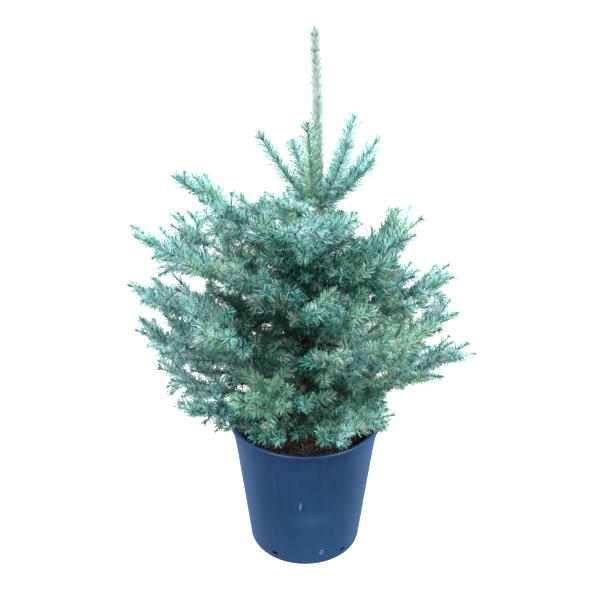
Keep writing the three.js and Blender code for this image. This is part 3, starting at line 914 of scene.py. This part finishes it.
def bough_bark():
    """Dark bark near the trunk, partly old bark and partly painted shade inside the crown, and pale young
    bark out among the needles and up at the top whorl.
    """
    finish = Finish("bough_bark", "#5d5648", 0.85, 0.3)
    grain = finish.noise(finish.place(), 380, 4, 0.6).between(0.35, 0.65)
    off_axis = finish.vector("LENGTH", finish.vector("MULTIPLY", finish.place(), (1, 1, 0)), output=1)
    young = (off_axis.between(0.05, 0.15) + finish.place_on(2).between(0.6, 0.68)).clamp()
    # Near the trunk the bark is dark, partly old bark and partly painted shade
    shaded_old_bark, young_bark = finish.mix(grain, "#1e211f", "#3c3b35"), finish.mix(grain, "#5c6a55", "#8a967c")
    finish.set(**{"Base Color": finish.mix(young, shaded_old_bark, young_bark)})
    finish.bump(grain, 0.5, 0.0006)
    return finish.material


def bark(name, dark, light):
    """Fine-grained bark, from a dark to a light colour."""
    finish = Finish(name, light, 0.8, 0.3)
    grain = finish.noise(finish.place(), 420, 4, 0.6)
    finish.set(**{"Base Color": finish.mix(grain.between(0.35, 0.65), dark, light)})
    finish.bump(grain, 0.5, 0.0006)
    return finish.material


# ---- Twigs and buds, by Geometry Nodes
def sweeping_tree(material):
    """Geometry Nodes that sweep a round section along every spline, by the splines' own radius."""
    tree = Tree("sweep_twigs", Thickness="Float", Sides="Int")
    given, add = tree.given, tree.add
    section = add("GeometryNodeCurvePrimitiveCircle", {
        "Resolution": given["Sides"], "Radius": given["Thickness"]})
    swept_mesh = add("GeometryNodeCurveToMesh", {
        "Curve": given["Geometry"], "Profile Curve": section, "Scale": add("GeometryNodeInputRadius", {}),
        "Fill Caps": True})
    return tree.finished(swept_mesh, material)


def build_twigs(twigs, finish):
    """The bark of every side shoot and fine twig. Each twig is a curve with its radius at foot and tip."""
    data = bpy.data.curves.new("twigs", "CURVE")
    data.dimensions = "3D"
    for twig, foot, tip in twigs:
        shares = np.linspace(0, 1, 6 if twig.length() > 45 else 4)
        points = lifted(twig.at(shares)) * MM
        spline = data.splines.new("POLY")
        spline.points.add(len(points) - 1)
        spline.points.foreach_set("co", np.hstack([points, np.ones((len(points), 1))]).ravel())
        spline.points.foreach_set("radius", foot + (tip - foot) * shares)
    start = placed("twig_paths", data)
    values = {"Thickness": MM, "Sides": 5}
    piece = grown_piece("twigs", start, sweeping_tree(finish), values, finish, smooth=True)
    bpy.data.objects.remove(start)
    return piece


def bud_shape():
    """A bud with overlapping scales, one unit long, along +Z."""
    sides, rings = 6, [(0.0, 0.16), (0.2, 0.27), (0.42, 0.29), (0.66, 0.2), (0.86, 0.1)]
    corners = []
    for k, (z, radius) in enumerate(rings):
        for j, (x, y) in enumerate(circle(sides)):
            out = radius * (1.12 if (j + k) % 2 else 0.9)
            corners.append((out * x, out * y, z))
    last, tip = len(corners) - sides, len(corners)
    faces = [tuple(range(sides))[::-1]] + ring_faces(len(rings), sides)
    faces += [(last + j, last + (j + 1) % sides, tip) for j in range(sides)]
    return corners + [(0, 0, 1.0)], faces


def budding_tree(material):
    """Geometry Nodes that set a bud on every point, along its own heading and at its own size."""
    tree = Tree("set_buds", Bud="Object", Size="Float")
    given, add = tree.given, tree.add
    heading = add("GeometryNodeInputNamedAttribute", {0: "heading"}, data_type="FLOAT_VECTOR")
    size = add("GeometryNodeInputNamedAttribute", {0: "size"}, data_type="FLOAT")
    turn = add("FunctionNodeAlignRotationToVector", {"Vector": heading}, axis="Z")
    scale = add("ShaderNodeMath", {0: size, 1: given["Size"]}, operation="MULTIPLY")
    return tree.finished(tree.set_on(given["Geometry"], given["Bud"], turn, scale), material)


def build_buds(places, finish):
    """A bud at every place: its point, its heading and its size."""
    points, headings, sizes = zip(*places)
    start = start_shape("bud_places", [lifted(point) * MM for point in points], [])
    for name, kind, key, values in (("heading", "FLOAT_VECTOR", "vector", np.array(headings).ravel()),
                                    ("size", "FLOAT", "value", sizes)):
        start.data.attributes.new(name, kind, "POINT").data.foreach_set(key, values)
    bud = start_shape("bud_start", *bud_shape())
    piece = grown_piece("buds", start, budding_tree(finish), {"Bud": bud, "Size": MM}, finish)
    bpy.data.objects.remove(bud)
    bpy.data.objects.remove(start)
    return piece


# ---- Needles
TINTS = {
    "deep_green": "#0f4339",
    "shade_green": "#1f7463",
    "grass_green": "#82c19e",
    "spring_green": "#aedab7",
    "lime_tip": "#c2d9b4",
    "blue_green": "#40a594",
    "sea_green": "#75cdbf",
    "silver_green": "#abe1e1",
    "silver_blue": "#c9e9f1",
    # Near white: partly the needles' silvery bloom and partly painted highlight
    "pale_silver": "#e4f1f2",
    "dusty_tip": "#7c928b",
    "ash_grey": "#dfe3dc",
}


def numbered(*names):
    return [list(TINTS).index(name) for name in names]


# Runs of tints from dark to pale, and the tint of dusty tips
SILVERY = numbered("deep_green", "shade_green", "blue_green", "sea_green", "silver_green", "silver_blue",
                   "pale_silver")
GREENER = numbered("deep_green", "shade_green", "grass_green", "grass_green", "spring_green", "silver_green",
                   "pale_silver")
YOUNG = numbered("shade_green", "grass_green", "sea_green", "spring_green", "lime_tip")
LEADER_OUT = numbered("dusty_tip", "silver_green", "ash_grey", "pale_silver", "ash_grey")
DUSTY = numbered("dusty_tip")[0]
# The crown's radius at the soil and at the top whorl, that whorl's height, and how much depth counts
CROWN = Sizes(low=330, high=190, top=450, depth=0.6)
# How pale a spray is by how far out it is, partly paler outer growth and partly painted shade deeper in,
# and how that picks the place in its run of tints
LIGHT = Sizes(power=1.2, outside=0.92, uneven=0.14, least_at_top=0.76, steps=6.1, first=-0.8, palest=3.3)
GREEN = Sizes(inside=0.45, fade=0.4)
# Where the crown has painted light or shade beyond its depth, or is greener, as the camera sees it in pixels:
# the middle, half width and half height, the painted light (shade below 0), and how much likelier a greener
# spray
PAINTED_LIGHT_AND_GREEN_PATCHES = [
    (385, 350, 75, 45, 0.4, 0.2), (355, 425, 40, 24, 0.4, 0.2), (325, 225, 50, 40, 0.4, 0.0),
    (270, 326, 46, 30, -1.0, 0.0), (360, 375, 50, 30, 0.35, 0.3), (200, 372, 40, 35, 0.3, 0.0),
    (395, 328, 60, 30, 0.1, 0.6), (275, 395, 45, 32, 0.1, 0.6), (240, 285, 45, 28, 0.1, 0.5),
    (330, 300, 45, 30, 0.1, 0.4),
]
# A low bough that still has young yellow-green needles on a bare pale stem
YOUNG_BOUGH = ("skirt", 6)
YOUNG_TINTS = Sizes(shades=YOUNG, level=1.3, rise=1.3, spread=1.5, dusty=0.0)
# How a bough's own stem is clothed: how much denser and longer than usual, the needles' lean, the bare foot
BOUGH_NEEDLES = Sizes(dense=1.15, length=1.0, lean=NEEDLE.lean, bare=20)
TOP_NEEDLES = Sizes(dense=2.2, length=1.2, lean=55, bare=4)
# How a kind of stem is clothed: the radii at foot and tip that its needles grow from and that its bark has,
# the size of its bud, and its needles' length
SIDE_STEM = Sizes(needled=(1.9, 0.9), bark=(1.7, 0.8), bud=5.2, length=1.0)
FINE_STEM = Sizes(needled=(1.3, 0.7), bark=(1.1, 0.6), bud=3.6, length=0.92)
INNER_STEM = Sizes(needled=(1.7, 0.8), bark=(1.7, 0.75), bud=3.6, length=0.92)
INNER_TWIG = Sizes(needled=(1.3, 0.8), bark=(1.3, 0.75), bud=3.6, length=0.92)
# Buds along the leader: the height and how many stand round it
LEADER_BUDS = ((736, 4), (712, 5), (640, 1), (588, 2), (672, 1))


def tints_for(spot, draw):
    """How a spray's needles are tinted: paler towards the crown's outside, partly new growth and partly
    painted shade deeper in, with painted light and shade at some patches, and each spray its own way.
    """
    crown = CROWN.low + (CROWN.high - CROWN.low) * float(np.clip(spot[2] / CROWN.top, 0, 1))
    far = math.hypot(spot[0] - trunk_at(max(spot[2], 0))[0], CROWN.depth * spot[1]) / crown
    light = far ** LIGHT.power * LIGHT.outside + draw(-LIGHT.uneven, LIGHT.uneven)
    if spot[2] > CROWN.top:
        light = max(light, LIGHT.least_at_top)
    green = GREEN.inside - GREEN.fade * far
    (u,), (v,) = seen_at(spot[None])
    # Painted light and painted shade from the patches, and likelier greener sprays
    for middle_u, middle_v, wide, high, painted_light, greener in PAINTED_LIGHT_AND_GREEN_PATCHES:
        near = max(0.0, 1 - ((u - middle_u) / wide) ** 2 - ((v - middle_v) / high) ** 2)
        light += painted_light * near
        green += greener * near
    shades = GREENER if draw(0, 1) < green else SILVERY
    level = min(light * LIGHT.steps + LIGHT.first, LIGHT.palest)
    return Sizes(shades=shades, level=level, rise=0.4, spread=2.0, dusty=0.6 if draw(0, 1) < 0.5 else 0.15)


class Sprays:
    """Collects needles: the foot, heading, length and tint of each."""

    def __init__(self, seed):
        self.rng = np.random.default_rng(seed)
        self.feet, self.headings, self.lengths, self.tints = [], [], [], []

    def clothe(self, curve, start, radii, tints, per_mm=NEEDLE.per_mm, scale=1.0, lean=NEEDLE.lean, bare=0.0):
        """Needles in a spiral round a stem, from start to its tip, that close over the bud at the end."""
        rng, run = self.rng, curve.length(start)
        count = max(8, int((run - bare) * per_mm))
        spot = (bare + (run - bare) * np.sort(rng.uniform(0, 1, count))) / run
        share = start + (1 - start) * spot
        tangent = curve.tangent(share)
        across, over = axes_about(tangent)
        angle = np.arange(count) * GOLDEN_ANGLE + rng.uniform(-NEEDLE.turn, NEEDLE.turn, count)
        out = across * np.cos(angle)[:, None] + over * np.sin(angle)[:, None]
        to_tip = run * (1 - spot)
        closing = np.clip(1 - to_tip / NEEDLE.closing, 0, 1)
        leaning = lean + rng.normal(0, 1, count) * NEEDLE.lean_jitter
        leaning = np.radians(leaning * (1 - closing) + NEEDLE.closed_lean * closing)[:, None]
        heading = out * np.sin(leaning) + tangent * np.cos(leaning) + UP * NEEDLE.up * (1 - out[:, 2:]) * 0.5
        heading += rng.normal(0, NEEDLE.unruly, heading.shape)
        heading /= np.linalg.norm(heading, axis=1, keepdims=True)
        radius = radii[0] + (radii[1] - radii[0]) * share
        length = NEEDLE.length * scale * rng.uniform(NEEDLE.shortest, NEEDLE.longest, count)
        place = (tints.level + tints.rise * spot + rng.normal(0, tints.spread, count)).round()
        tint = np.array(tints.shades)[np.clip(place, 0, len(tints.shades) - 1).astype(int)]
        dusty = (to_tip < NEEDLE.dusty_end) & (rng.uniform(0, 1, count) < tints.dusty)
        self.feet.append(curve.at(share) + out * (radius * 0.6)[:, None])
        self.headings.append(heading)
        self.lengths.append(length * (1 - NEEDLE.closed_shorter * closing))
        self.tints.append(np.where(dusty, DUSTY, tint))

    def piece(self, name, materials):
        """The needles as slim four-cornered solids, flat at the foot and on edge at the tip."""
        feet, heading = lifted(np.vstack(self.feet)), np.vstack(self.headings)
        tips = feet + heading * np.concatenate(self.lengths)[:, None]
        across, over = axes_about(heading)
        half, count = NEEDLE.half_width, len(feet)
        corners = np.stack([feet + across * half, feet - across * half,
                            tips + over * half * NEEDLE.tip, tips - over * half * NEEDLE.tip], 1)
        rows = np.array([(0, 2, 1), (0, 1, 3), (0, 3, 2), (1, 2, 3)])
        faces = (np.arange(count)[:, None, None] * 4 + rows[None]).reshape(-1, 3)
        mesh = bpy.data.meshes.new(name)
        mesh.vertices.add(count * 4)
        mesh.vertices.foreach_set("co", (corners * MM).ravel())
        mesh.loops.add(faces.size)
        mesh.loops.foreach_set("vertex_index", faces.ravel())
        mesh.polygons.add(len(faces))
        mesh.polygons.foreach_set("loop_start", np.arange(0, faces.size, 3))
        return finish_mesh(mesh, name, materials, np.repeat(np.concatenate(self.tints), 4), smooth=False)


def nearest_whorl(height):
    return min(range(1, len(WHORLS)), key=lambda k: abs(WHORLS[k].height + 20 - height))


def clothe_bough(sprays, bough, draw):
    """Needles on the bough's own stem. Says whether the whole bough has young needles."""
    way = TOP_NEEDLES if bough.whorl == "top" else BOUGH_NEEDLES
    young = (bough.whorl, bough.label) == YOUNG_BOUGH
    tints = YOUNG_TINTS if young else tints_for(bough.curve.at(0.8), draw)
    sprays.clothe(bough.curve, bough.leaf_from, (2.6, 1.0), tints, NEEDLE.per_mm * way.dense, way.length,
                  way.lean, 0 if bough.has_limb else way.bare)
    return young


def build_foliage(boughs, inner, materials):
    """One piece of needles for each whorl, the top one with the leader's. Returns the twigs and the buds."""
    twigs, buds = [], []

    def clothe_stem(sprays, stem, kind, tints):
        sprays.clothe(stem, 0.0, kind.needled, tints, scale=kind.length)
        twigs.append((stem, *kind.bark))
        buds.append((stem.tip, stem.tangent(1.0), kind.bud))

    for index, whorl in enumerate(WHORLS):
        sprays = Sprays(SEED.needles + index)
        mine = [bough for bough in boughs if bough.whorl == whorl.name]
        for bough in mine:
            draw = Stream(SEED.tints * bough.order)
            young = clothe_bough(sprays, bough, draw)
            buds.append((bough.curve.tip, bough.curve.tangent(1.0), 6.5))
            for kind, stems in ((SIDE_STEM, bough.shoots), (FINE_STEM, bough.fine)):
                for stem in stems:
                    clothe_stem(sprays, stem, kind, YOUNG_TINTS if young else tints_for(stem.at(0.6), draw))
        for shoot in (shoot for shoot in inner if nearest_whorl(shoot.height) == index):
            draw = Stream(SEED.inner_tints * shoot.order)
            for stem, kind in [(shoot.curve, INNER_STEM)] + [(twig, INNER_TWIG) for twig in shoot.fine]:
                clothe_stem(sprays, stem, kind, tints_for(stem.at(0.6), draw))
        nodes = [f"{bough.whorl}_foliage_{bough.label}" for bough in mine]
        if whorl.name == "top":
            clothe_leader(sprays, buds)
            nodes.append("leader_needles")
        wear(sprays.piece(f"needles_{whorl.name}", materials), "needles", *nodes)
    return twigs, buds


def clothe_leader(sprays, buds):
    """Needles pressed along the leader in two layers, with side buds, and a ring of buds under its tip."""
    foot, tip = trunk_at(LEADER.start), trunk_at(LEADER.end)
    middle = trunk_at((LEADER.start + LEADER.end) / 2)
    curve = Curve(foot, 2 * middle - (foot + tip) / 2, tip)
    radii = trunk_radius(LEADER.start), trunk_radius(LEADER.end)
    for level, rise, share, wider in ((0.7, 1.2, 0.45, 6), (1.8, 1.4, 0.55, 0)):
        tints = Sizes(shades=LEADER_OUT, level=level, rise=rise, spread=1.3, dusty=0.0)
        sprays.clothe(curve, 0.0, radii, tints, LEADER.per_mm * share, LEADER.length / NEEDLE.length,
                      LEADER.lean + wider)
    buds.append((trunk_at(TRUNK.height) - UP * 4, UP, 11))
    for height, count in LEADER_BUDS:
        for k in range(count):
            out = level_heading(k * 2 * math.pi / count + height)
            root = trunk_at(height) + out * (trunk_radius(height) - 0.4)
            buds.append((root, unit(out * 0.75 + UP * 0.65), 8.5))


# ---- Stage, in metres
def build_stage():
    wide = 300
    floor = start_shape("floor", [(-wide, -wide, 0), (wide, -wide, 0), (wide, wide, 0), (-wide, wide, 0)],
                        [(0, 1, 2, 3)])
    finish = Finish("pale_floor", "#fafbfc", 0.9, 0.1)
    finish.set(**{"Emission Color": linear("#ffffff"), "Emission Strength": 0.3})
    floor.data.materials.append(finish.material)
    floor.visible_diffuse = floor.visible_glossy = False
    world = bpy.data.worlds.new("studio")
    bpy.context.scene.world = world
    world.use_nodes = True
    tree = world.node_tree
    around = add_node(tree, "ShaderNodeTexCoord", {}, "Generated")
    height = add_node(tree, "ShaderNodeSeparateXYZ", {0: around}, 2)
    height = add_node(tree, "ShaderNodeMath", {0: height, 1: 0.1}, operation="ADD")
    stops = [(0.02, "#9aa7ad"), (0.075, (0.98, 1.0, 1.0, 1.0))]
    sky = add_node(tree, "ShaderNodeValToRGB", {0: height}, stops=stops)
    fill_socket(tree, tree.nodes["Background"].inputs["Color"], sky)
    fill_socket(tree, tree.nodes["Background"].inputs["Strength"], 1.2)
    for name, place, size, power, colour in (
            ("key", (-2.0, -2.4, 3.2), 2.4, 126, (1.0, 0.99, 0.98)),
            ("fill", (2.4, -1.6, 2.6), 2.0, 104, (0.97, 0.99, 1.0)),
            ("back", (0.4, 2.2, 3.2), 2.4, 86, (1.0, 1.0, 1.0))):
        light = bpy.data.lights.new(name, "AREA")
        light.size, light.energy, light.color = size, power, colour
        lamp = placed(name, light)
        lamp.location = place
        lamp.rotation_euler = (Vector((0, 0, 0.5)) - Vector(place)).to_track_quat("-Z", "Y").to_euler()
    data = bpy.data.cameras.new("camera")
    data.lens, data.sensor_width = CAMERA.lens, CAMERA.sensor
    camera = placed("camera", data)
    camera.location = (0, -CAMERA.distance * MM, CAMERA.height * MM)
    camera.rotation_euler = (math.radians(90 - CAMERA.pitch), 0, YAW)
    bpy.context.scene.camera = camera
    bpy.context.scene.view_settings.view_transform = "Standard"


# ---- Everything
build_stage()
boughs, inner = grow()

wear(build_pot(pot_plastic()), "pot", "pot")
wear(build_soil(potting_soil()), "soil", "soil")
build_litter()
wear(build_trunk(trunk_bark()), "bark", "trunk")
wear(build_boughs(bough_bark(), boughs), "bark",
     *(f"{bough.whorl}_bough_{bough.label}" for bough in boughs if bough.has_limb))
materials = [Finish("needles_" + name, colour, 0.5, 0.35).material for name, colour in TINTS.items()]
twigs, buds = build_foliage(boughs, inner, materials)
wear(build_twigs(twigs, bark("young_twigs", "#4a5c4c", "#7b8e76")), "bark")
wear(build_buds(buds, bark("bud_scales", "#5a544c", "#8b8578")), "bark")
